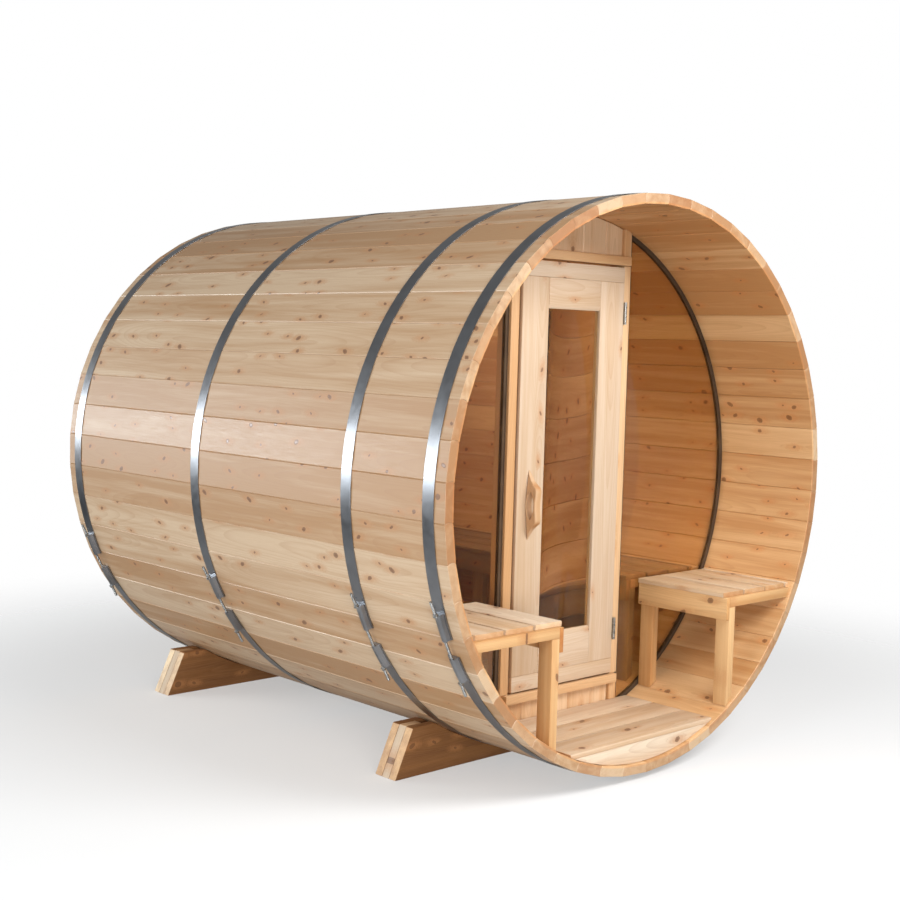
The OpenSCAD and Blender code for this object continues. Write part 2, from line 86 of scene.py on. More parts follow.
class Build:
    """One piece in the making: a bmesh with the grain attributes of its boards."""

    def __init__(self, seed):
        self.bm = bmesh.new()
        self.rng = random.Random(seed)
        layers = self.bm.verts.layers
        self.grain = layers.float_vector.new("grain")
        self.tint = layers.float.new("tint")
        self.end = layers.float.new("end")

    def mark(self, verts, along, thick, heart=0.08):
        """Gives a board's points their place in its own log: across, through, along."""
        rng = self.rng
        across = along.cross(thick)
        middle = sum((v.co for v in verts), Vector()) / len(verts)
        shift = Vector((rng.uniform(-0.05, 0.05), heart + rng.uniform(-0.04, 0.05), rng.uniform(0, 60)))
        tint = rng.random()
        runs = [(v.co - middle).dot(along) for v in verts]
        low, high = min(runs), max(runs)
        for v, run in zip(verts, runs):
            d = v.co - middle
            v[self.grain] = Vector((d.dot(across), d.dot(thick), run)) + shift
            v[self.tint] = tint
            v[self.end] = 0.0
        for face in {f for v in verts for f in v.link_faces}:
            if abs(face.normal.dot(along)) > 0.75:
                for v in face.verts:
                    run = (v.co - middle).dot(along)
                    if run < low + 0.08 or run > high - 0.08:
                        v[self.end] = 1.0

    def finish_solid(self, verts, along, thick, bevel, heart=0.08, segments=2):
        """Rounds a new solid's edges and marks its grain."""
        faces = {f for v in verts for f in v.link_faces}
        bmesh.ops.recalc_face_normals(self.bm, faces=list(faces))
        edges = [e for e in {e for f in faces for e in f.edges}
                 if len(e.link_faces) == 2 and e.calc_face_angle(0) > 0.35]
        before = set(self.bm.verts) - set(verts)
        if bevel and edges:
            bmesh.ops.bevel(self.bm, geom=edges, offset=bevel, segments=segments, profile=0.5,
                            affect="EDGES", clamp_overlap=True, material=-1)
        mine = [v for v in self.bm.verts if v not in before]
        self.bm.normal_update()
        self.mark(mine, along, thick, heart)
        return mine

    def board(self, lo, hi, along, thick, bevel=0.002, cuts=(), heart=0.08):
        """A sawn board between two corners; cuts are (point, outward normal) planes."""
        lo, hi = Vector(lo), Vector(hi)
        size = hi - lo
        place = Matrix.Translation((lo + hi) / 2) @ Matrix.Diagonal((*size, 1))
        verts = bmesh.ops.create_cube(self.bm, size=1, matrix=place)["verts"]
        for point, normal in cuts:
            verts = self.cut(verts, point, normal)
        return self.finish_solid(verts, along, thick, bevel, heart)

    def cut(self, verts, point, normal):
        """Takes away what lies past a plane and closes the cut."""
        others = set(self.bm.verts) - set(verts)
        edges = {e for v in verts for e in v.link_edges}
        faces = {f for v in verts for f in v.link_faces}
        geom = list(verts) + list(edges) + list(faces)
        made = bmesh.ops.bisect_plane(self.bm, geom=geom, dist=1e-6, plane_co=point,
                                      plane_no=normal, clear_outer=True)
        rim = [g for g in made["geom_cut"] if isinstance(g, bmesh.types.BMEdge)]
        if rim:
            bmesh.ops.contextual_create(self.bm, geom=rim)
        return [v for v in self.bm.verts if v not in others]

    def prism(self, outline, run, along, thick, bevel=0.002, heart=0.08, segments=2):
        """A flat outline of points, pushed out along run."""
        verts = [self.bm.verts.new(p) for p in outline]
        face = self.bm.faces.new(verts)
        pushed = bmesh.ops.extrude_face_region(self.bm, geom=[face])["geom"]
        far = [g for g in pushed if isinstance(g, bmesh.types.BMVert)]
        bmesh.ops.translate(self.bm, verts=far, vec=run)
        return self.finish_solid(verts + far, along, thick, bevel, heart, segments)

    def rod(self, a, b, radius, segments=24, bevel=0.0):
        """A round bar from a to b."""
        a, b = Vector(a), Vector(b)
        turn = (b - a).to_track_quat("Z", "Y").to_matrix().to_4x4()
        made = bmesh.ops.create_cone(
            self.bm, cap_ends=True, segments=segments, radius1=radius, radius2=radius,
            depth=(b - a).length, matrix=Matrix.Translation((a + b) / 2) @ turn)
        if bevel:
            rims = {e for v in made["verts"] for e in v.link_edges
                    if abs((e.verts[0].co - e.verts[1].co).dot(b - a)) < 1e-9}
            bmesh.ops.bevel(self.bm, geom=list(rims), offset=bevel, segments=2, profile=0.5,
                            affect="EDGES", clamp_overlap=True, material=-1)
        return made["verts"]


def piece(build, name, material, body, replaces=(), sharp=35):
    """Turns a build into a finished object that rides on a body."""
    bm = build.bm
    limit = math.radians(sharp)
    for edge in bm.edges:
        edge.smooth = edge.calc_face_angle(3.2) < limit if len(edge.link_faces) == 2 else False
    for face in bm.faces:
        face.smooth = True
    mesh = bpy.data.meshes.new(name)
    bm.to_mesh(mesh)
    bm.free()
    obj = bpy.data.objects.new(name, mesh)
    bpy.context.scene.collection.objects.link(obj)
    mesh.materials.append(material)
    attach(obj, body)
    if replaces:
        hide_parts(*replaces)
    return obj


# ---- material helpers ----

class Tree:
    """Short ways to add nodes to a material or a group."""

    def __init__(self, tree):
        self.tree = tree

    def add(self, kind, **values):
        node = self.tree.nodes.new(kind)
        for key, value in values.items():
            setattr(node, key, value)
        return node

    def feed(self, value, socket):
        if isinstance(value, bpy.types.NodeSocket):
            self.tree.links.new(value, socket)
        elif value is not None:
            socket.default_value = value

    def math(self, op, a, b=None, c=None, clamp=False):
        node = self.add("ShaderNodeMath", operation=op, use_clamp=clamp)
        for value, socket in zip((a, b, c), node.inputs):
            self.feed(value, socket)
        return node.outputs[0]

    def vector(self, op, a, b=None):
        node = self.add("ShaderNodeVectorMath", operation=op)
        self.feed(a, node.inputs[0])
        self.feed(b, node.inputs[1])
        return node.outputs["Value" if op in ("LENGTH", "DOT_PRODUCT", "DISTANCE") else "Vector"]

    def split(self, vector):
        node = self.add("ShaderNodeSeparateXYZ")
        self.feed(vector, node.inputs[0])
        return node.outputs

    def join(self, x=0.0, y=0.0, z=0.0):
        node = self.add("ShaderNodeCombineXYZ")
        for value, socket in zip((x, y, z), node.inputs):
            self.feed(value, socket)
        return node.outputs[0]

    def noise(self, vector, scale, detail=3.0, rough=0.5):
        node = self.add("ShaderNodeTexNoise")
        self.feed(vector, node.inputs["Vector"])
        node.inputs["Scale"].default_value = scale
        node.inputs["Detail"].default_value = detail
        node.inputs["Roughness"].default_value = rough
        return node.outputs["Fac"]

    def span(self, value, a, b, c=0.0, d=1.0, smooth=False):
        node = self.add("ShaderNodeMapRange", interpolation_type="SMOOTHSTEP" if smooth else "LINEAR")
        self.feed(value, node.inputs["Value"])
        for key, number in zip(("From Min", "From Max", "To Min", "To Max"), (a, b, c, d)):
            self.feed(number, node.inputs[key])
        return node.outputs["Result"]

    def mix(self, factor, a, b, blend="MIX"):
        node = self.add("ShaderNodeMix", data_type="RGBA", blend_type=blend)
        self.feed(factor, node.inputs["Factor"])
        self.feed(a, node.inputs["A"])
        self.feed(b, node.inputs["B"])
        return node.outputs["Result"]


def rgba(r, g, b):
    return (r, g, b, 1.0)


def new_group(name, inputs, outputs):
    group = bpy.data.node_groups.new(name, "ShaderNodeTree")
    for key, kind, value in inputs:
        socket = group.interface.new_socket(name=key, in_out="INPUT", socket_type=kind)
        if value is not None:
            socket.default_value = value
    for key, kind in outputs:
        group.interface.new_socket(name=key, in_out="OUTPUT", socket_type=kind)
    t = Tree(group)
    return group, t, t.add("NodeGroupInput").outputs, t.add("NodeGroupOutput").inputs


FLOAT = "NodeSocketFloat"
COLOUR = "NodeSocketColor"
VECTOR = "NodeSocketVector"


KNOT_CELL_W = 0.062
KNOT_CELL_L = 0.15
RINGS_PER_M = 230.0


def make_cedar_group():
    """Sawn cedar: growth rings round the log's heart, streaks, fibres and knots."""
    late_tone, fibre_tone = rgba(0.36, 0.17, 0.07), rgba(0.42, 0.24, 0.12)
    halo_tone, core_tone = rgba(0.48, 0.21, 0.075), rgba(0.17, 0.070, 0.028)
    rim_tone, sawn_late_tone = rgba(0.07, 0.030, 0.014), rgba(0.26, 0.10, 0.035)
    group, t, i, o = new_group(
        "Cedar grain",
        [("Grain", VECTOR, None), ("Tint", FLOAT, 0.5), ("End", FLOAT, 0.0),
         ("Pale", COLOUR, rgba(0.6, 0.42, 0.27)), ("Warm", COLOUR, rgba(0.5, 0.28, 0.13)),
         ("Variety", FLOAT, 0.5), ("Knots", FLOAT, 0.4), ("Knot size", FLOAT, 1.0),
         ("End tone", COLOUR, rgba(1, 1, 1))],
        [("Color", COLOUR), ("Roughness", FLOAT), ("Height", FLOAT)])
    x, y, z = t.split(i["Grain"])

    sweep = t.join(t.math("MULTIPLY", x, 2.0), t.math("MULTIPLY", y, 2.0),
                   t.math("MULTIPLY", z, 0.7))
    bend_x = t.math("MULTIPLY", t.math("SUBTRACT", t.noise(sweep, 1.0, 1.0), 0.5), 0.07)
    bend_y = t.math("MULTIPLY", t.math("SUBTRACT", t.noise(sweep, 1.7, 1.0), 0.5), 0.07)

    # Knots: a few of the cells of a pattern drawn on the board's face
    flat = t.join(t.math("DIVIDE", x, KNOT_CELL_W), t.math("DIVIDE", z, KNOT_CELL_L),
                  t.math("MULTIPLY", i["Tint"], 9.0))
    cells = t.add("ShaderNodeTexVoronoi", voronoi_dimensions="2D", feature="F1")
    t.feed(flat, cells.inputs["Vector"])
    cells.inputs["Scale"].default_value = 1.0
    pick, size, lean = t.split(cells.outputs["Color"])
    away = t.vector("SUBTRACT", flat, cells.outputs["Position"])
    ax, az, _ = t.split(away)
    ax = t.math("MULTIPLY", ax, KNOT_CELL_W)
    az = t.math("MULTIPLY", az, KNOT_CELL_L)
    az = t.math("ADD", az, t.math("MULTIPLY", ax, t.span(lean, 0, 1, -0.9, 0.9)))
    off = t.vector("LENGTH", t.join(ax, t.math("MULTIPLY", az, 0.8)))
    wobble = t.math("MULTIPLY", t.math("SUBTRACT", t.noise(i["Grain"], 160.0, 2.0), 0.5), 0.006)
    off = t.math("ADD", off, wobble)
    flare = t.vector("LENGTH", t.join(ax, t.math("MULTIPLY", az, 0.36)))
    flare = t.math("ADD", flare, t.math("MULTIPLY", wobble, 2.5))
    radius = t.span(t.math("POWER", size, 1.6), 0, 1, 0.0030, 0.0105)
    radius = t.math("MULTIPLY", radius, i["Knot size"])
    here = t.math("GREATER_THAN", t.math("SUBTRACT", i["Knots"], pick), 0.0)
    here = t.math("MULTIPLY", here, t.span(i["End"], 0, 1, 1.0, 0.2))
    core = t.math("MULTIPLY", here, t.span(off, radius, t.math("MULTIPLY", radius, 0.55), 0, 1, True))
    rim_in = t.span(off, t.math("MULTIPLY", radius, 0.6), radius, 0, 1, True)
    rim_out = t.span(off, t.math("MULTIPLY", radius, 1.45), radius, 0, 1, True)
    rim = t.math("MULTIPLY", here, t.math("MULTIPLY", rim_in, rim_out))
    halo = t.span(flare, t.math("ADD", radius, 0.018), t.math("MULTIPLY", radius, 0.4), 0, 1, True)
    halo = t.math("MULTIPLY", here, halo)

    # Growth rings
    heart = t.vector("LENGTH", t.join(t.math("ADD", x, bend_x), t.math("ADD", y, bend_y)))
    heart = t.math("ADD", heart, t.math("MULTIPLY", halo, 0.009))
    ring = t.math("FRACT", t.math("MULTIPLY", heart, RINGS_PER_M))
    late = t.math("POWER", t.math("PINGPONG", ring, 1.0), 3.0)
    late = t.math("MULTIPLY", late, t.span(ring, 0.97, 1.0, 1.0, 0.0))
    broad = t.noise(t.join(t.math("MULTIPLY", heart, 42.0), 0.0, t.math("MULTIPLY", z, 0.5)), 1.0, 3.0)

    # Streaks and fibres that run the length of the board
    streak = t.noise(t.join(t.math("MULTIPLY", x, 26.0), t.math("MULTIPLY", y, 26.0),
                            t.math("MULTIPLY", z, 1.1)), 1.0, 4.0, 0.6)
    fibre = t.noise(t.join(t.math("MULTIPLY", x, 520.0), t.math("MULTIPLY", y, 520.0),
                           t.math("MULTIPLY", z, 14.0)), 1.0, 3.0, 0.65)

    between = t.math("ADD", t.math("MULTIPLY", t.math("SUBTRACT", i["Tint"], 0.5), i["Variety"]), 0.5)
    between = t.math("ADD", between, t.span(broad, 0.3, 0.7, -0.30, 0.30))
    between = t.math("ADD", between, t.span(streak, 0.3, 0.7, -0.40, 0.40), clamp=True)
    colour = t.mix(between, i["Pale"], i["Warm"])
    colour = t.mix(t.math("MULTIPLY", late, 0.26), colour, late_tone)
    colour = t.mix(t.span(fibre, 0.35, 0.75, 0.0, 0.22), colour, fibre_tone)
    colour = t.mix(t.math("MULTIPLY", halo, 0.52), colour, halo_tone)
    colour = t.mix(t.math("MULTIPLY", core, 0.82), colour, core_tone)
    colour = t.mix(t.math("MULTIPLY", rim, 0.70), colour, rim_tone)
    deep = t.mix(t.math("FRACT", t.math("MULTIPLY", i["Tint"], 7.0)),
                 rgba(1.0, 0.90, 0.76), rgba(0.80, 0.56, 0.36))
    sawn = t.mix(1.0, t.mix(1.0, colour, deep, "MULTIPLY"), i["End tone"], "MULTIPLY")
    sawn = t.mix(t.math("MULTIPLY", late, 0.35), sawn, sawn_late_tone)
    colour = t.mix(i["End"], colour, sawn)

    t.feed(colour, o["Color"])
    rough = t.math("ADD", t.span(fibre, 0.3, 0.7, 0.52, 0.66), t.math("MULTIPLY", core, -0.12))
    t.feed(rough, o["Roughness"])
    height = t.math("ADD", t.math("MULTIPLY", fibre, 0.5), t.math("MULTIPLY", late, 0.35))
    t.feed(t.math("ADD", height, t.math("MULTIPLY", rim, -0.8)), o["Height"])
    return group


CEDAR = make_cedar_group()


def wood(name, pale, warm, variety=0.8, knots=0.3, knot_size=1.0, bump=0.35, inner=None,
         end=(1, 1, 1), specular=0.5, polish=0.0):
    """A cedar finish that follows each board's own grain attributes.

    inner tints the faces inside the cask brighter and warmer as painted warm bounce light, and end
    tints the sawn ends."""
    mat = bpy.data.materials.new(name)
    mat.use_nodes = True
    mat.node_tree.nodes.clear()
    t = Tree(mat.node_tree)
    figure = t.add("ShaderNodeGroup", node_tree=CEDAR)
    for key, socket in (("grain", "Grain"), ("tint", "Tint"), ("end", "End")):
        reader = t.add("ShaderNodeAttribute", attribute_name=key)
        t.feed(reader.outputs["Vector" if key == "grain" else "Fac"], figure.inputs[socket])
    for key, value in (("Pale", rgba(*pale)), ("Warm", rgba(*warm)), ("Variety", variety),
                       ("Knots", knots), ("Knot size", knot_size), ("End tone", rgba(*end))):
        figure.inputs[key].default_value = value
    relief = t.add("ShaderNodeBump")
    relief.inputs["Strength"].default_value = bump
    relief.inputs["Distance"].default_value = 0.0006
    t.feed(figure.outputs["Height"], relief.inputs["Height"])
    shader = t.add("ShaderNodeBsdfPrincipled")
    colour = figure.outputs["Color"]
    # Painted bounce light: faces inside the cask are tinted brighter and warmer than the outside faces.
    if inner:
        px, _, pz = t.split(t.add("ShaderNodeTexCoord").outputs["Object"])
        radius = t.vector("LENGTH", t.join(px, 0.0, t.math("SUBTRACT", pz, AXIS_Z)))
        inside = t.span(radius, INNER_R + 0.010, INNER_R + 0.006, 0, 1)
        colour = t.mix(inside, colour, t.mix(1.0, colour, rgba(*inner), "MULTIPLY"))
    t.feed(colour, shader.inputs["Base Color"])
    t.feed(t.math("SUBTRACT", figure.outputs["Roughness"], polish), shader.inputs["Roughness"])
    t.feed(relief.outputs["Normal"], shader.inputs["Normal"])
    shader.inputs["Specular IOR Level"].default_value = specular
    out = t.add("ShaderNodeOutputMaterial")
    t.feed(shader.outputs[0], out.inputs["Surface"])
    return mat


def make_scuff_group():
    """Cloudy wear for metal and rubber, on object coordinates."""
    group, t, i, o = new_group(
        "Scuffs", [("Vector", VECTOR, None), ("Fine", FLOAT, 60.0)],
        [("Cloud", FLOAT), ("Speck", FLOAT)])
    cloud = t.add("ShaderNodeTexNoise")
    t.feed(i["Vector"], cloud.inputs["Vector"])
    cloud.inputs["Scale"].default_value = 9.0
    cloud.inputs["Detail"].default_value = 5.0
    speck = t.add("ShaderNodeTexNoise")
    t.feed(i["Vector"], speck.inputs["Vector"])
    t.feed(i["Fine"], speck.inputs["Scale"])
    speck.inputs["Detail"].default_value = 4.0
    t.feed(t.span(cloud.outputs["Fac"], 0.3, 0.7), o["Cloud"])
    t.feed(t.span(speck.outputs["Fac"], 0.35, 0.65), o["Speck"])
    return group


SCUFFS = make_scuff_group()


def plain(name, dark, light, rough, metal=0.0, fine=60.0, bump=0.15, specular=0.5):
    """A metal or rubber finish between two colours, with cloudy wear."""
    mat = bpy.data.materials.new(name)
    mat.use_nodes = True
    mat.node_tree.nodes.clear()
    t = Tree(mat.node_tree)
    wear = t.add("ShaderNodeGroup", node_tree=SCUFFS)
    t.feed(t.add("ShaderNodeTexCoord").outputs["Object"], wear.inputs["Vector"])
    wear.inputs["Fine"].default_value = fine
    shader = t.add("ShaderNodeBsdfPrincipled")
    t.feed(t.mix(wear.outputs["Cloud"], rgba(*dark), rgba(*light)), shader.inputs["Base Color"])
    low, high = rough
    t.feed(t.span(wear.outputs["Speck"], 0, 1, low, high), shader.inputs["Roughness"])
    shader.inputs["Metallic"].default_value = metal
    shader.inputs["Specular IOR Level"].default_value = specular
    relief = t.add("ShaderNodeBump")
    relief.inputs["Strength"].default_value = bump
    relief.inputs["Distance"].default_value = 0.0004
    t.feed(wear.outputs["Speck"], relief.inputs["Height"])
    t.feed(relief.outputs["Normal"], shader.inputs["Normal"])
    out = t.add("ShaderNodeOutputMaterial")
    t.feed(shader.outputs[0], out.inputs["Surface"])
    return mat


def bronze_glass():
    """Bronze glass with faint smears in its gloss, which lets lamp light straight through."""
    bronze = rgba(0.76, 0.65, 0.48)
    mat = bpy.data.materials.new("bronze_glass")
    mat.use_nodes = True
    mat.node_tree.nodes.clear()
    t = Tree(mat.node_tree)
    wear = t.add("ShaderNodeGroup", node_tree=SCUFFS)
    t.feed(t.add("ShaderNodeTexCoord").outputs["Object"], wear.inputs["Vector"])
    wear.inputs["Fine"].default_value = 14.0
    shader = t.add("ShaderNodeBsdfPrincipled")
    shader.inputs["Base Color"].default_value = bronze
    shader.inputs["Transmission Weight"].default_value = 1.0
    shader.inputs["IOR"].default_value = 1.45
    t.feed(t.span(wear.outputs["Cloud"], 0, 1, 0.0, 0.02), shader.inputs["Roughness"])
    clear = t.add("ShaderNodeBsdfTransparent")
    clear.inputs["Color"].default_value = bronze
    blend = t.add("ShaderNodeMixShader")
    t.feed(t.add("ShaderNodeLightPath").outputs["Is Shadow Ray"], blend.inputs[0])
    t.feed(shader.outputs[0], blend.inputs[1])
    t.feed(clear.outputs[0], blend.inputs[2])
    out = t.add("ShaderNodeOutputMaterial")
    t.feed(blend.outputs[0], out.inputs["Surface"])
    return mat


# The staves' inner tint is painted warm bounce light on the faces inside the cask.
STAVE_WOOD = wood("stave_cedar", (0.63, 0.46, 0.30), (0.43, 0.24, 0.11), 1.25, 0.46, 0.85,
                  inner=(1.20, 1.04, 0.80), end=(0.98, 1.10, 1.26), specular=0.9, polish=0.12)
DOOR_WOOD = wood("door_cedar", (0.63, 0.50, 0.37), (0.53, 0.37, 0.23), 0.6, 0.10, 0.7)
TRIM_WOOD = wood("trim_cedar", (0.72, 0.49, 0.28), (0.58, 0.32, 0.14), 0.9, 0.12, 0.7)
WALL_WOOD = wood("wall_cedar", (0.72, 0.51, 0.32), (0.58, 0.33, 0.16), 0.9, 0.30)
FLOOR_WOOD = wood("floor_cedar", (0.76, 0.63, 0.48), (0.61, 0.42, 0.26), 0.9, 0.30)
BENCH_WOOD = wood("bench_cedar", (0.77, 0.64, 0.49), (0.60, 0.41, 0.24), 0.9, 0.30)
# Bench stand cedar: a middle tone between the lit pale wood and the shaded orange faces, so partly
# painted shade under the seat.
FRAME_WOOD_PAINTED_SHADE = wood("bench_frame_cedar_painted_shade", (0.72, 0.46, 0.22), (0.55, 0.28, 0.10), 0.9, 0.30)
# Room bench cedar painted dark brown: painted shade for the dim room behind the glass.
ROOM_WOOD_PAINTED_SHADE = wood("room_bench_cedar_painted_shade", (0.34, 0.22, 0.125), (0.25, 0.135, 0.06), 0.9, 0.30)
# Cradle plies: the dark brown is painted shade under the cask, and the strong end tone brings their
# sawn ends back to the pale wood.
CRADLE_WOOD_PAINTED_SHADE = wood("cradle_wood", (0.24, 0.100, 0.028), (0.14, 0.050, 0.013), 0.8, 0.40, 1.2,
                   end=(3.8, 8.0, 20.0), specular=0.3)
BLOCK_WOOD = wood("cradle_block", (0.66, 0.54, 0.40), (0.54, 0.39, 0.25), 0.8, 0.30)
HANDLE_WOOD = wood("handle_cedar", (0.66, 0.45, 0.28), (0.54, 0.32, 0.16), 0.8, 0.0)
BAND_STEEL = plain("band_steel", (0.25, 0.25, 0.26), (0.33, 0.34, 0.36), (0.29, 0.35), 1.0, 40.0, 0.01)
ROD_STEEL = plain("rod_steel", (0.30, 0.30, 0.30), (0.40, 0.40, 0.39), (0.30, 0.38), 1.0, 120.0, 0.03)
HINGE_STEEL = plain("hinge_steel", (0.32, 0.32, 0.31), (0.44, 0.44, 0.42), (0.24, 0.36), 1.0)
RUBBER = plain("gasket_rubber", (0.065, 0.040, 0.024), (0.105, 0.066, 0.040), (0.6, 0.75),
               0.0, 40.0, 0.1, 0.1)
GLASS = bronze_glass()


# ---- cask ----

def rim_point(radius, angle, y):
    """A point on the cask's section, with the angle from the top towards +X."""
    return Vector((radius * math.sin(angle), y, AXIS_Z + radius * math.cos(angle)))


def add_stave(build, index):
    """A straight stave with a bead along one edge and a cove along the other."""
    middle = (index + 0.5) * STAVE_STEP
    tangent = Vector((math.cos(middle), 0, -math.sin(middle)))
    radial = Vector((math.sin(middle), 0, math.cos(middle)))
    gap = 0.0004
    bead = 0.0045
    arris = 0.0022
    steps = 7
    half_out = FLAT_R * math.tan(STAVE_STEP / 2) - gap / 2
    half_in = INNER_R * math.tan(STAVE_STEP / 2) - gap / 2

    def edge(side, k):
        share = k / steps
        across = half_in + (half_out - half_in) * share
        bulge = bead * math.sin(math.pi * share)
        return side * across + bulge, INNER_R + STAVE_T * share

    right = [edge(1, k) for k in range(steps + 1)]
    left = [edge(-1, k) for k in range(steps + 1)]
    soft = [(right[0][0] - arris, INNER_R), (right[0][0], INNER_R + arris)] + right[1:-1]
    soft += [(right[-1][0], FLAT_R - arris), (right[-1][0] - arris, FLAT_R)]
    soft += [(left[-1][0] + arris, FLAT_R), (left[-1][0], FLAT_R - arris)] + left[1:-1][::-1]
    soft += [(left[0][0], INNER_R + arris), (left[0][0] + arris, INNER_R)]
    outline = [AXIS + tangent * u + radial * w + Y * FRONT_Y for u, w in soft]
    bm = build.bm
    verts = [bm.verts.new(p) for p in outline]
    face = bm.faces.new(verts)
    pushed = bmesh.ops.extrude_face_region(bm, geom=[face])["geom"]
    far = [g for g in pushed if isinstance(g, bmesh.types.BMVert)]
    bmesh.ops.translate(bm, verts=far, vec=Y * (BACK_Y - FRONT_Y))
    both = verts + far
    faces = list({f for v in both for f in v.link_faces})
    bmesh.ops.recalc_face_normals(bm, faces=faces)
    others = set(bm.verts) - set(both)
    rims = [e for e in {e for f in faces for e in f.edges}
            if abs(e.verts[0].co.y - e.verts[1].co.y) < 1e-6]
    bmesh.ops.bevel(bm, geom=rims, offset=0.0012, segments=1, profile=0.5, affect="EDGES",
                    clamp_overlap=True, material=-1)
    mine = [v for v in bm.verts if v not in others]
    bm.normal_update()
    build.mark(mine, Y, radial)


def make_shell():
    starts = [math.floor(g * STAVES / len(SHELL) + 0.5) for g in range(len(SHELL) + 1)]
    for g, name in enumerate(SHELL):
        build = Build(100 + g)
        for index in range(starts[g], starts[g + 1]):
            add_stave(build, index)
        piece(build, name.replace("shell", "staves"), STAVE_WOOD, CASK, [name], sharp=22)


# ---- bands ----

BANDS = ["band_1", "band_2", "band_3", "band_4"]
TENSIONER_DEG = [27.0, 29.0, 31.0, 27.5]
BAND_T = 0.0015
BAND_STEPS = 200
LUG_GAP = 0.070
LUG_L = 0.096
LUG_W = 0.054
RIVET_SPREAD = 0.018
RIVET_PAST = 0.018
RIVET_R = 0.004
RIVET_H = 0.0022
ROD_L = 0.376
ROD_R = 0.005
ROD_UP = 0.014
ROD_SIDE = 0.0045
THREAD_PITCH = 0.0028
BAND_R = CORNER_R + 0.0002


def ring_frame(angle_below, y):
    """Tangent and outward directions at an angle below the -X side."""
    a = math.radians(angle_below)
    out = Vector((-math.cos(a), 0, -math.sin(a)))
    down = Vector((math.sin(a), 0, -math.cos(a)))
    return Vector((0, y, AXIS_Z)), out, down


def add_strip(build, y0, y1, inner, thick, start, sweep, steps):
    """A flat strip bent round the cask; angles run from the -X side downwards."""
    centre, out, _ = ring_frame(start, 0)
    corners = [(inner, y0), (inner + thick, y0), (inner + thick, y1), (inner, y1)]
    verts = [build.bm.verts.new(centre + out * r + Y * y) for r, y in corners]
    face = build.bm.faces.new(verts)
    bmesh.ops.spin(build.bm, geom=[face, *face.edges, *verts], cent=centre, axis=Y,
                   angle=-math.radians(sweep), steps=steps, use_duplicate=False)


def arc_deg(length):
    return math.degrees(length / BAND_R)


def add_lug(build, y, mid_deg, side):
    """A folded steel lug: a foot on the band, and a hump that carries the rod."""
    edge = LUG_W / 2
    low = BAND_R + BAND_T + 0.0002
    start = mid_deg + side * arc_deg((LUG_GAP + LUG_L) / 2) - arc_deg(LUG_L) / 2
    profile = [(-edge, 0.0), (-edge, 0.003), (-0.0095, 0.0032), (-0.0070, 0.0060),
               (-0.0055, 0.0150), (-0.0020, 0.0215), (0.0045, 0.0240), (0.0125, 0.0225),
               (0.0185, 0.0170), (0.0205, 0.0090), (0.0220, 0.0034), (edge, 0.003), (edge, 0.0)]
    centre, out, _ = ring_frame(start, 0)
    verts = [build.bm.verts.new(centre + out * (low + h) + Y * (y - across)) for across, h in profile]
    face = build.bm.faces.new(verts)
    bmesh.ops.spin(build.bm, geom=[face, *face.edges, *verts], cent=centre, axis=Y,
                   angle=-math.radians(arc_deg(LUG_L)), steps=6, use_duplicate=False)


def make_bands():
    for n, name in enumerate(BANDS):
        lo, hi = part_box(name)
        build = Build(200 + n)
        middle = TENSIONER_DEG[n]
        start = middle + arc_deg(LUG_GAP) / 2
        add_strip(build, lo[1], hi[1], BAND_R, BAND_T, start, 360 - arc_deg(LUG_GAP), BAND_STEPS)
        for side in (-1, 1):
            add_lug(build, (lo[1] + hi[1]) / 2, middle, side)
            for across in (-RIVET_SPREAD, RIVET_SPREAD):
                rivet_deg = middle + side * arc_deg(LUG_GAP / 2 + LUG_L + RIVET_PAST)
                centre, out, _ = ring_frame(rivet_deg, (lo[1] + hi[1]) / 2 + across)
                foot = centre + out * (BAND_R + BAND_T - 0.0005)
                build.rod(foot, foot + out * RIVET_H, RIVET_R, 12, 0.0009)
        bmesh.ops.recalc_face_normals(build.bm, faces=build.bm.faces[:])
        piece(build, "steel_" + name, BAND_STEEL, CASK, [name], sharp=30)


def add_thread(build, a, b, radius, pitch):
    """A threaded stretch of rod, as rings that stand a little proud."""
    a, b = Vector(a), Vector(b)
    count = int((b - a).length / pitch)
    way = (b - a).normalized()
    for k in range(count):
        at = a + way * (k + 0.5) * pitch
        turn = way.to_track_quat("Z", "Y").to_matrix().to_4x4()
        ring = bmesh.ops.create_cone(build.bm, cap_ends=False, segments=14, radius1=radius,
                                     radius2=radius, depth=pitch * 0.9,
                                     matrix=Matrix.Translation(at) @ turn)["verts"]
        crest = bmesh.ops.create_circle(build.bm, cap_ends=False, segments=14, radius=radius * 1.16,
                                        matrix=Matrix.Translation(at) @ turn)["verts"]
        loops = [[v for v in ring if (v.co - at).dot(way) < 0], crest,
                 [v for v in ring if (v.co - at).dot(way) > 0]]
        wall = {f for v in ring for f in v.link_faces}
        bmesh.ops.delete(build.bm, geom=list(wall), context="FACES_ONLY")
        for one, two in zip(loops, loops[1:]):
            rims = [e for loop in (one, two) for e in {e for v in loop for e in v.link_edges}
                    if e.verts[0] in loop and e.verts[1] in loop]
            bmesh.ops.bridge_loops(build.bm, edges=rims)
        stray = [e for e in {e for v in ring for e in v.link_edges} if not e.link_faces]
        bmesh.ops.delete(build.bm, geom=stray, context="EDGES")


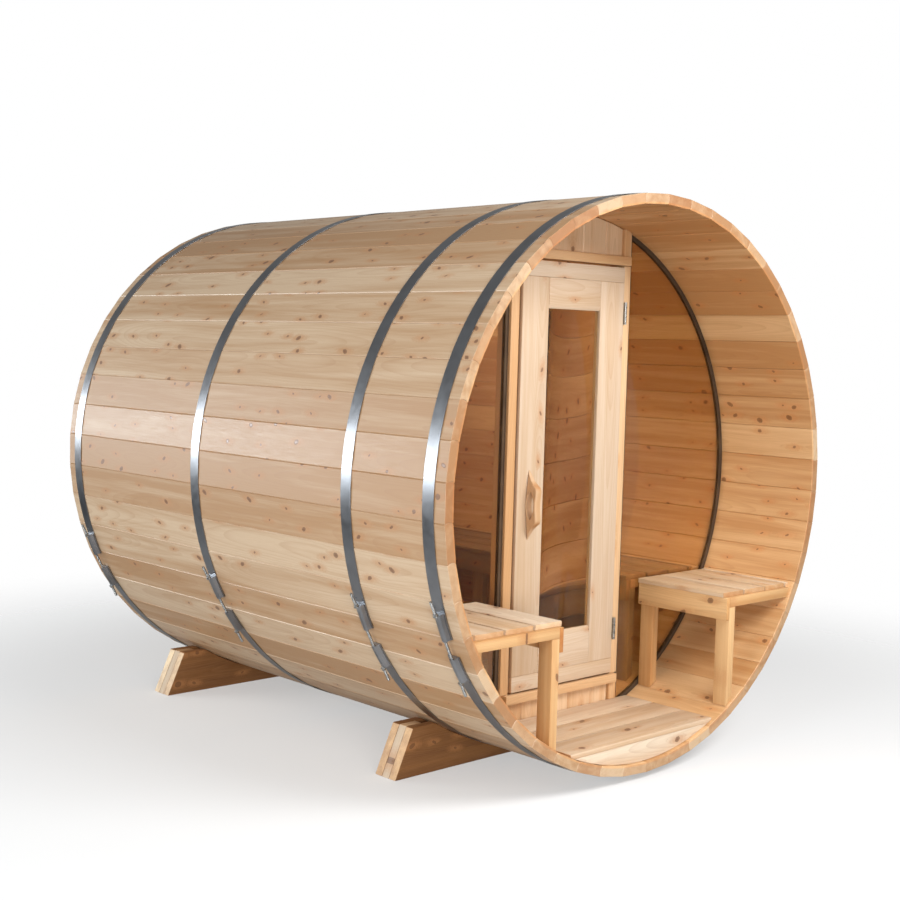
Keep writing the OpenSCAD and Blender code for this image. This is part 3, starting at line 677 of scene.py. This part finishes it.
def make_rods():
    build = Build(300)
    half = ROD_L / 2
    height = BAND_R + BAND_T + ROD_UP
    for n, name in enumerate(BANDS):
        lo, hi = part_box(name)
        centre, out, down = ring_frame(TENSIONER_DEG[n], (lo[1] + hi[1]) / 2 - ROD_SIDE)
        at = centre + out * height
        build.rod(at - down * half, at + down * half, ROD_R * 0.94, 16, 0.0008)
        for side in (-1, 1):
            tip = at + down * side * half
            near = at + down * side * (LUG_GAP / 2 + LUG_L + 0.010)
            add_thread(build, near, tip, ROD_R * 0.93, THREAD_PITCH)
            seat = at + down * side * (LUG_GAP / 2 + LUG_L)
            build.rod(seat + down * side * 0.0002, seat + down * side * 0.002, 0.0105, 20, 0.0005)
            build.rod(seat + down * side * 0.002, seat + down * side * 0.010, 0.0092, 6, 0.0007)
        add_thread(build, at - down * LUG_GAP / 2, at + down * LUG_GAP / 2, ROD_R * 0.93,
                   THREAD_PITCH)
    bmesh.ops.recalc_face_normals(build.bm, faces=build.bm.faces[:])
    piece(build, "threaded_rods", ROD_STEEL, CASK, ["tension_rods"], sharp=40)


# ---- cradles ----

def cradle_outline(lo, hi, lean, y):
    """The cradle's face, with the saddle that the cask lies in."""
    top = hi[2]
    meet = math.acos((AXIS_Z - top) / SADDLE_R)
    arc = [rim_point(SADDLE_R, math.pi - meet + 2 * meet * k / 28, y) for k in range(29)]
    outer = [Vector((lo[0], y, lo[2])), Vector((lo[0] + lean, y, top))]
    other = [Vector((hi[0] - lean, y, top)), Vector((hi[0], y, lo[2]))]
    return outer + arc[::-1] + other


def make_cradles():
    lean, block = CRADLE_LEAN, CRADLE_BLOCK
    for n, name in enumerate(("cradle_front", "cradle_rear")):
        lo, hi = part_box(name)
        ply = (hi[1] - lo[1]) / 3
        build = Build(400 + n)
        for y in (lo[1], hi[1] - ply):
            build.prism(cradle_outline(lo, hi, lean, y), Y * ply, X, Y, 0.004, 0.10, 3)
        blocks = Build(410 + n)
        for side in (-1, 1):
            x0 = hi[0]
            shape = [(x0, lo[2]), (x0 - lean, hi[2]), (x0 - lean - block, hi[2]), (x0 - block, lo[2])]
            outline = [Vector((side * x, lo[1] + ply + 0.0003, z)) for x, z in shape]
            grain = Vector((lean, 0, hi[2] - lo[2])).normalized()
            blocks.prism(outline, Y * (ply - 0.0006), grain, Y, 0.003)
        piece(build, name.replace("cradle", "saddle"), CRADLE_WOOD_PAINTED_SHADE, CASK, [name])
        piece(blocks, name.replace("cradle", "saddle_blocks"), BLOCK_WOOD, CASK)


# ---- walls ----

def arc_points(x0, x1, radius, y, top, steps):
    """Points along the round edge of an end wall, from x0 to x1."""
    points = []
    for k in range(steps + 1):
        x = x0 + (x1 - x0) * k / steps
        rise = math.sqrt(max(radius * radius - x * x, 0.0))
        points.append(Vector((x, y, AXIS_Z + (rise if top else -rise))))
    return points


def add_wall_board(build, x0, x1, z0, z1, radius, y0, y1, groove=0.004):
    """An upright board whose ends follow the cask where z0 or z1 is None."""
    ends = []
    for z, upper in ((z1, True), (z0, False)):
        if z is None:
            ends.append(arc_points(x0, x1, radius, y0, upper, 4))
        else:
            ends.append([Vector((x0, y0, z)), Vector((x1, y0, z))])
    outline = ends[0] + ends[1][::-1]
    clean = [p for k, p in enumerate(outline) if (p - outline[k - 1]).length > 1e-4]
    build.prism(clean, Y * (y1 - y0), Z, Y, groove, segments=1)


def wall_row(build, x0, x1, z0, z1, y0, y1):
    """Tongued boards side by side, with their V joints."""
    first = math.floor((x0 - WALL_BOARD / 2) / WALL_BOARD)
    last = math.ceil((x1 + WALL_BOARD / 2) / WALL_BOARD)
    for k in range(first, last + 1):
        a = max(x0, (k - 0.55) * WALL_BOARD) + WALL_BOARD_GAP / 2
        b = min(x1, (k + 0.45) * WALL_BOARD) - WALL_BOARD_GAP / 2
        if b - a > 0.012:
            add_wall_board(build, a, b, z0, z1, FIT_R, y0, y1)


def make_walls():
    for n, name in enumerate(("boards_over_door", "boards_under_door")):
        lo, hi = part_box(name)
        build = Build(500 + n)
        over = name == "boards_over_door"
        wall_row(build, lo[0], hi[0], lo[2] if over else None, None if over else hi[2], lo[1], hi[1])
        piece(build, name.replace("boards", "panelling"), WALL_WOOD, CASK, [name])
    lo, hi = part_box("back_wall")
    build = Build(510)
    wall_row(build, lo[0], hi[0], None, None, lo[1], hi[1])
    piece(build, "back_panelling", WALL_WOOD, CASK, ["back_wall"])


def make_posts():
    stop = DOOR_STOP
    for n, side in enumerate((-1, 1)):
        name = "post_left" if side < 0 else "post_right"
        lo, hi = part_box(name)
        in_x = (lo[0] + stop) if side > 0 else (hi[0] - stop)
        out_x = hi[0] if side > 0 else lo[0]
        build = Build(520 + n)
        middle = (in_x + out_x) / 2
        rise = math.sqrt(FIT_R ** 2 - middle ** 2)
        cuts = []
        for up in (-1, 1):
            normal = Vector((middle, 0, up * rise)).normalized()
            cuts.append((Vector((middle, 0, AXIS_Z + up * rise)), normal))
        left, right = sorted((in_x, out_x))
        stop_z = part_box("sill_trim")[1][2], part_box("header_trim")[0][2]
        build.board((left, WALL_Y, 0), (right, hi[1], 2 * AXIS_Z), Z, Y, 0.0025, cuts)
        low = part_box("porch_floor")[1][2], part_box("sill_trim")[0][2]
        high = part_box("header_trim")[1][2], 2 * AXIS_Z
        for z0, z1 in (low, stop_z, high):
            ends = cuts if z0 > AXIS_Z else []
            build.board((left, lo[1], z0 + 0.0005), (right, WALL_Y - 0.0002, z1 - 0.0005),
                        Z, Y, 0.002, ends)
        stop_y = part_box("door_rails")[1][1] + 0.0003
        left, right = sorted((in_x, in_x - side * stop))
        build.board((left, stop_y, stop_z[0]), (right, hi[1], stop_z[1]), Z, Y, 0.0015)
        piece(build, "door_" + name, TRIM_WOOD, CASK, [name])


def make_trims():
    for n, name in enumerate(("header_trim", "sill_trim")):
        lo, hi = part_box(name)
        build = Build(530 + n)
        build.board(lo, hi, X, Y, 0.0025)
        piece(build, name.replace("_trim", "_board"), TRIM_WOOD, CASK, [name])


# ---- glass and gaskets ----

def light_outline(side, inset, y):
    """The outline of a fixed light: the arc of the cask and the post's edge."""
    lo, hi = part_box("gasket_right")
    edge = lo[0] + inset
    radius = FIT_R - inset
    reach = math.asin(edge / radius)
    turns = [reach + (math.pi - 2 * reach) * k / 72 for k in range(73)]
    points = [rim_point(radius, a, y) for a in turns]
    return [Vector((side * p.x, p.y, p.z)) for p in points]


def make_glass():
    """The fixed lights and the door's pane, with a fine arris round their edges."""
    gasket_lo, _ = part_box("gasket_right")
    for n, side in enumerate((-1, 1)):
        name = "glass_left" if side < 0 else "glass_right"
        lo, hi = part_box(name)
        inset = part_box("glass_right")[0][0] - gasket_lo[0]
        build = Build(560 + n)
        build.prism(light_outline(side, inset, lo[1]), Y * (hi[1] - lo[1]), Z, Y, 0.0004, segments=1)
        piece(build, name.replace("glass", "pane"), GLASS, CASK, [name])
    lo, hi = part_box("door_glass")
    build = Build(562)
    build.board(lo, hi, Z, Y, 0.0004)
    piece(build, "pane_door", GLASS, DOOR, ["door_glass"])


def add_gasket_ring(build, side, inset0, inset1, y0, y1):
    """A closed ring between two insets of the light's outline."""
    loops = [[build.bm.verts.new(p) for p in light_outline(side, inset, y)]
             for inset, y in ((inset0, y0), (inset0, y1), (inset1, y1), (inset1, y0))]
    for n, loop in enumerate(loops):
        before = loops[n - 1]
        for k in range(len(loop)):
            build.bm.faces.new((before[k - 1], before[k], loop[k], loop[k - 1]))


def make_gaskets():
    for n, side in enumerate((-1, 1)):
        name = "gasket_left" if side < 0 else "gasket_right"
        lo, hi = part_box(name)
        build = Build(600 + n)
        add_gasket_ring(build, side, 0.0002, 0.0032, lo[1], hi[1])
        add_gasket_ring(build, side, 0.0032, 0.0138, lo[1] + 0.002, lo[1] + 0.0055)
        add_gasket_ring(build, side, 0.0138, 0.0168, lo[1] + 0.0005, lo[1] + 0.0055)
        add_gasket_ring(build, side, 0.0032, 0.0168, hi[1] - 0.0055, hi[1])
        bmesh.ops.recalc_face_normals(build.bm, faces=build.bm.faces[:])
        piece(build, name.replace("gasket", "seal"), RUBBER, CASK, [name])


# ---- floors ----

def floor_row(build, name, board, gap):
    """Floor boards across the cask, with their ends slanted to lie on the staves."""
    lo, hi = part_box(name)
    half = hi[0]
    low_half = half - FLOOR_SLANT
    slant_z = lo[2] + FLOOR_SLANT_H
    y = lo[1]
    while y < hi[1] - 0.03:
        far = min(y + board, hi[1])
        outline = [Vector((-low_half, y, lo[2])), Vector((-half, y, slant_z)),
                   Vector((-half, y, hi[2])), Vector((half, y, hi[2])),
                   Vector((half, y, slant_z)), Vector((low_half, y, lo[2]))]
        build.prism(outline, Y * (far - y), X, Z, 0.0022)
        y += board + gap


def make_floors():
    for n, name in enumerate(("porch_floor", "room_floor")):
        build = Build(700 + n)
        floor_row(build, name, FLOOR_BOARD, FLOOR_GAP)
        piece(build, name + "_boards", FLOOR_WOOD, CASK, [name])
    lo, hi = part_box("porch_fascia")
    build = Build(710)
    reach = math.acos((AXIS_Z - hi[2]) / FLOOR_FIT_R)
    arc = [rim_point(FLOOR_FIT_R, math.pi - reach + 2 * reach * k / 30, lo[1]) for k in range(31)]
    build.prism(arc, Y * (hi[1] - lo[1]), X, Y, 0.002)
    piece(build, "fascia_board", FLOOR_WOOD, CASK, ["porch_fascia"])
    lo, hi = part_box("floor_bearers")
    build = Build(720)
    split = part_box("boards_under_door")
    half = BEARER_W / 2
    for x in (lo[0] + half, 0, hi[0] - half):
        rise = math.sqrt(FLOOR_FIT_R ** 2 - x * x)
        normal = Vector((x, 0, -rise)).normalized()
        for y0, y1 in ((lo[1], split[0][1] - 0.002), (split[1][1] + 0.002, hi[1])):
            build.board((x - half, y0, 0.02), (x + half, y1, hi[2]), Y, Z, 0.002,
                        [(Vector((x, 0, AXIS_Z - rise)), normal)])
    piece(build, "bearers", FLOOR_WOOD, CASK, ["floor_bearers"])


# ---- benches ----

BENCH_BOARD = 0.132
BENCH_GAP = 0.012
LEG = 0.038
RAIL_W = 0.064
RAIL_H = 0.038
APRON_T = 0.019
APRON_H = 0.089
BOARD_T = 0.019
APRON_IN = 0.005


def staves_cut(x, z):
    """A cutting plane that follows the inside of the staves near a point."""
    normal = Vector((x, 0, z - AXIS_Z)).normalized()
    return Vector((0, 0, AXIS_Z)) + normal * FIT_R, normal


def add_bench_top(build, side, x0, x1, y0, y1, z0, z1):
    """Seat boards from x0 outwards; the last one is cut to the staves."""
    x = x0
    while x + BENCH_BOARD < x1 + 0.001:
        ends = sorted((side * x, side * (x + BENCH_BOARD)))
        build.board((ends[0], y0, z0), (ends[1], y1, z1), Y, Z, 0.0022)
        x += BENCH_BOARD + BENCH_GAP
    if x1 - x > 0.012:
        ends = sorted((side * x, side * (x1 + 0.01)))
        build.board((ends[0], y0, z0), (ends[1], y1, z1), Y, Z, 0.0018,
                    [staves_cut(side * x1, (z0 + z1) / 2)])


def add_bench_frame(build, side, x0, y0, y1, top, rails):
    """An apron under the front edge, and a rail and a leg at each of rails."""
    apron_x = x0 + APRON_IN
    leg_x = apron_x + APRON_T
    ends = sorted((side * apron_x, side * leg_x))
    build.board((ends[0], y0, top - APRON_H), (ends[1], y1, top), Y, X, 0.002)
    wall_x = math.sqrt(FIT_R ** 2 - (AXIS_Z - top + RAIL_H / 2) ** 2)
    for y in rails:
        ends = sorted((side * (leg_x + 0.0002), side * (wall_x + 0.02)))
        build.board((ends[0], y, top - RAIL_H), (ends[1], y + RAIL_W, top), X, Z, 0.002,
                    [staves_cut(side * wall_x, top - RAIL_H / 2)])
        ends = sorted((side * (leg_x + 0.0002), side * (leg_x + LEG)))
        foot_x = leg_x + LEG / 2
        foot_z = AXIS_Z - math.sqrt(FIT_R ** 2 - foot_x ** 2)
        build.board((ends[0], y + 0.0002, 0.05), (ends[1], y + RAIL_W - 0.0002, top - RAIL_H - 0.0002),
                    Z, Y, 0.002, [staves_cut(side * foot_x, foot_z)])


def make_benches():
    seed = 800
    for side, word in ((-1, "left"), (1, "right")):
        for place in ("porch", "room"):
            seed += 10
            top_name = f"{place}_bench_{word}_top"
            frame_name = f"{place}_bench_{word}_frame"
            lo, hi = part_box(top_name)
            x0, x1 = sorted((abs(lo[0]), abs(hi[0])))
            f_lo, f_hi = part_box(frame_name)
            top = hi[2] - BOARD_T
            rails = [f_lo[1], f_hi[1] - RAIL_W]
            if place == "room":
                rails.insert(1, (f_lo[1] + f_hi[1] - RAIL_W) / 2)
            boards = Build(seed)
            add_bench_top(boards, side, x0, x1, lo[1], hi[1], top, hi[2])
            frame_build = Build(seed + 1)
            add_bench_frame(frame_build, side, x0, f_lo[1], f_hi[1], top - 0.0003, rails)
            woods = (BENCH_WOOD, FRAME_WOOD_PAINTED_SHADE) if place == "porch" else (ROOM_WOOD_PAINTED_SHADE, ROOM_WOOD_PAINTED_SHADE)
            piece(boards, f"{place}_bench_{word}_boards", woods[0], CASK,
                  [top_name])
            piece(frame_build, f"{place}_bench_{word}_stand", woods[1], CASK,
                  [frame_name])


# ---- door ----

GLASS_COVER = 0.008
PANEL_SLOPE = 0.016
FINGER_HALF_H = 0.054
FINGER_HALF_W = 0.019


def make_door():
    lo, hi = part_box("door_stiles")
    glass_lo, glass_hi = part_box("door_glass")
    rail_lo, rail_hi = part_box("door_rails")
    panel_lo, panel_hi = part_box("door_panels")
    light_x = glass_lo[0] + GLASS_COVER, glass_hi[0] - GLASS_COVER
    light_z = glass_lo[2] + GLASS_COVER, glass_hi[2] - GLASS_COVER
    glass_y = (glass_lo[1] + glass_hi[1]) / 2
    half = (glass_hi[1] - glass_lo[1]) / 2 + 0.0003

    build = Build(900)
    for x0, x1 in ((lo[0], light_x[0]), (light_x[1], hi[0])):
        build.board((x0, lo[1], lo[2]), (x1, glass_y - half, hi[2]), Z, Y, 0.002)
        build.board((x0, glass_y + half, lo[2]), (x1, hi[1], hi[2]), Z, Y, 0.002)
        rest = (x0, light_x[0] - 0.01) if x0 == lo[0] else (light_x[1] + 0.01, x1)
        build.board((rest[0] + 0.001, glass_y - half - 0.001, lo[2] + 0.001),
                    (rest[1], glass_y + half + 0.001, hi[2] - 0.001), Z, Y, 0.0)
    piece(build, "stiles", DOOR_WOOD, DOOR, ["door_stiles"])

    build = Build(910)
    for z0, z1 in ((rail_lo[2], lo[2] - 0.0003), (hi[2] + 0.0003, rail_hi[2])):
        build.board((rail_lo[0], rail_lo[1], z0), (rail_hi[0], rail_hi[1], z1), X, Y, 0.002)
    piece(build, "rails", DOOR_WOOD, DOOR, ["door_rails"])

    build = Build(920)
    for up, z0, z1 in ((-1, panel_lo[2], light_z[0]), (1, light_z[1], panel_hi[2])):
        inner = z0 if up > 0 else z1
        outer = z1 if up > 0 else z0
        y0, y1 = panel_lo[1], glass_y - half
        shape = [(y0, outer), (y0, inner + up * PANEL_SLOPE), (y0 + 0.005, inner),
                 (y1, inner), (y1, outer)]
        outline = [Vector((panel_lo[0], y, z)) for y, z in shape]
        build.prism(outline, X * (panel_hi[0] - panel_lo[0]), X, Y, 0.0015)
        near, far = sorted((inner, outer))
        build.board((panel_lo[0], glass_y + half, near), (panel_hi[0], panel_hi[1], far), X, Y, 0.0015)
    piece(build, "panels", DOOR_WOOD, DOOR, ["door_panels"])


def make_handle():
    """A pull with pointed tips and a leaf-shaped finger hole."""
    lo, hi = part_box("door_handle")
    h = (hi[2] - lo[2]) / 2
    out = hi[1] - lo[1]
    mid_z = (lo[2] + hi[2]) / 2
    upper = [(0, h), (out * 0.18, h * 0.86), (out * 0.42, h * 0.7), (out * 0.72, h * 0.58),
             (out * 0.93, h * 0.51), (out, h * 0.42), (out * 0.97, h * 0.28), (out * 0.91, h * 0.1)]
    shape = upper + [(d, -z) for d, z in reversed(upper)]
    hole_h, hole_w = FINGER_HALF_H, FINGER_HALF_W
    radius = (hole_h ** 2 + hole_w ** 2) / (2 * hole_w)
    middle = out * 0.91 - 0.008 - hole_w
    reach = math.asin(hole_h / radius)
    right = [(middle - radius + hole_w + radius * math.cos(a), radius * math.sin(a))
             for a in (reach * (1 - k / 5) for k in range(11))]
    left = [(2 * middle - d, z) for d, z in reversed(right[1:-1])]
    hole = [(max(d, 0.0015), z) for d, z in right + left]
    build = Build(930)
    bm = build.bm
    walls = []
    for x in (lo[0], hi[0]):
        for ring in (shape, hole):
            verts = [bm.verts.new((x, hi[1] - d, mid_z + z)) for d, z in ring]
            walls.append([bm.edges.new((verts[k - 1], verts[k])) for k in range(len(verts))])
    for pair in ((0, 1), (2, 3)):
        bmesh.ops.triangle_fill(bm, edges=walls[pair[0]] + walls[pair[1]], use_beauty=True)
    bmesh.ops.bridge_loops(bm, edges=walls[0] + walls[2])
    bmesh.ops.bridge_loops(bm, edges=walls[1] + walls[3])
    bmesh.ops.recalc_face_normals(bm, faces=bm.faces[:])
    rims = [e for ring in walls for e in ring if e.is_valid]
    bmesh.ops.bevel(bm, geom=rims, offset=0.0045, segments=3, profile=0.5, affect="EDGES",
                    clamp_overlap=True, material=-1)
    middle_x = (lo[0] + hi[0]) / 2
    for v in bm.verts:
        share = min(1.0, max(0.0, (h - abs(v.co.z - mid_z)) / (h * 0.55)))
        v.co.x = middle_x + (v.co.x - middle_x) * (0.16 + 0.84 * share ** 0.8)
    bm.normal_update()
    build.mark(bm.verts[:], Z, X)
    piece(build, "pull", HANDLE_WOOD, DOOR, ["door_handle"], sharp=40)


def make_hinges():
    for name, body in (("hinge_frame_leaves", CASK), ("hinge_door_leaves", DOOR)):
        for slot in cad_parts[name].material_slots:
            slot.material = HINGE_STEEL


# ---- studio ----

def studio_floor():
    """A pale floor that melts into the backdrop with distance."""
    mat = bpy.data.materials.new("studio_floor")
    mat.use_nodes = True
    mat.node_tree.nodes.clear()
    t = Tree(mat.node_tree)
    place = t.add("ShaderNodeTexCoord").outputs["Object"]
    shader = t.add("ShaderNodeBsdfPrincipled")
    shader.inputs["Base Color"].default_value = rgba(0.90, 0.90, 0.90)
    t.feed(t.span(t.noise(place, 3.0), 0.3, 0.7, 0.85, 0.95), shader.inputs["Roughness"])
    t.feed(t.span(t.vector("LENGTH", place), 1.6, 4.2, 0.62, 0.0, True), shader.inputs["Alpha"])
    t.feed(shader.outputs[0], t.add("ShaderNodeOutputMaterial").inputs["Surface"])
    mesh = bpy.data.meshes.new("studio_floor")
    bm = bmesh.new()
    bmesh.ops.create_circle(bm, cap_ends=True, segments=96, radius=8)
    bm.to_mesh(mesh)
    bm.free()
    floor = bpy.data.objects.new("studio_floor", mesh)
    mesh.materials.append(mat)
    bpy.context.scene.collection.objects.link(floor)


def softbox(name, at, target, wide, tall, power, colour=(1.0, 1.0, 1.0)):
    """A rectangular lamp at a place, turned towards a target."""
    data = bpy.data.lights.new(name, "AREA")
    data.shape = "RECTANGLE"
    data.size = wide
    data.size_y = tall
    data.energy = power
    data.color = colour
    obj = bpy.data.objects.new(name, data)
    obj.location = at
    obj.rotation_euler = (Vector(target) - Vector(at)).to_track_quat("-Z", "Y").to_euler()
    bpy.context.scene.collection.objects.link(obj)


def studio_world():
    """Soft light from the horizon that dims overhead; the camera sees it as white."""
    world = bpy.data.worlds.new("studio")
    world.use_nodes = True
    bpy.context.scene.world = world
    world.node_tree.nodes.clear()
    t = Tree(world.node_tree)
    height = t.split(t.add("ShaderNodeTexCoord").outputs["Generated"])[2]
    soft = t.add("ShaderNodeBackground")
    soft.inputs["Color"].default_value = rgba(1.0, 1.0, 1.0)
    above = t.span(height, 0.0, 0.5, 0.48, 0.25, True)
    below = t.span(height, -0.25, 0.0, 0.12, 1.0, True)
    t.feed(t.math("MULTIPLY", above, below), soft.inputs["Strength"])
    seen = t.add("ShaderNodeBackground")
    seen.inputs["Color"].default_value = rgba(1.0, 1.0, 1.0)
    seen.inputs["Strength"].default_value = 1.0
    blend = t.add("ShaderNodeMixShader")
    t.feed(t.add("ShaderNodeLightPath").outputs["Is Camera Ray"], blend.inputs[0])
    t.feed(soft.outputs[0], blend.inputs[1])
    t.feed(seen.outputs[0], blend.inputs[2])
    t.feed(blend.outputs[0], t.add("ShaderNodeOutputWorld").inputs["Surface"])


def make_studio():
    studio_floor()
    studio_world()
    softbox("key", (-4.6, 4.6, 1.65), (-0.9, 0.2, 1.25), 3.4, 0.9, 160, (0.88, 0.95, 1.0))
    softbox("side", (-6.2, -1.4, 2.0), (-0.6, 0.0, 1.2), 3.0, 0.8, 150, (0.90, 0.96, 1.0))
    softbox("front", (0.3, -4.0, 3.6), (0.2, -0.9, 0.8), 2.4, 1.8, 190)
    softbox("porch", (-3.4, -5.4, 1.0), (0.4, -0.8, 1.3), 2.0, 1.4, 155)
    softbox("room", (0.25, 0.5, 1.45), (1.0, 0.2, 1.35), 0.4, 0.4, 3.4, (1.0, 0.88, 0.72))
    bpy.context.scene.view_settings.view_transform = "Standard"


def make_camera():
    """Eye height, off the porch's left corner."""
    data = bpy.data.cameras.new("view")
    data.sensor_width = 36
    data.lens = 55.58
    obj = bpy.data.objects.new("view", data)
    yaw, pitch, roll = math.radians(43.23), math.radians(-4.27), math.radians(1.59)
    turn = Matrix.Rotation(-yaw, 4, "Z") @ Matrix.Rotation(math.pi / 2 + pitch, 4, "X")
    obj.matrix_world = (Matrix.Translation((-4.037, -3.176 + FRONT_Y, 0.496 + AXIS_Z))
                        @ turn @ Matrix.Rotation(roll, 4, "Z"))
    bpy.context.scene.collection.objects.link(obj)
    bpy.context.scene.camera = obj


make_camera()
make_studio()
make_shell()
make_bands()
make_rods()
make_cradles()
make_walls()
make_posts()
make_trims()
make_glass()
make_gaskets()
make_floors()
make_benches()
make_door()
make_handle()
make_hinges()
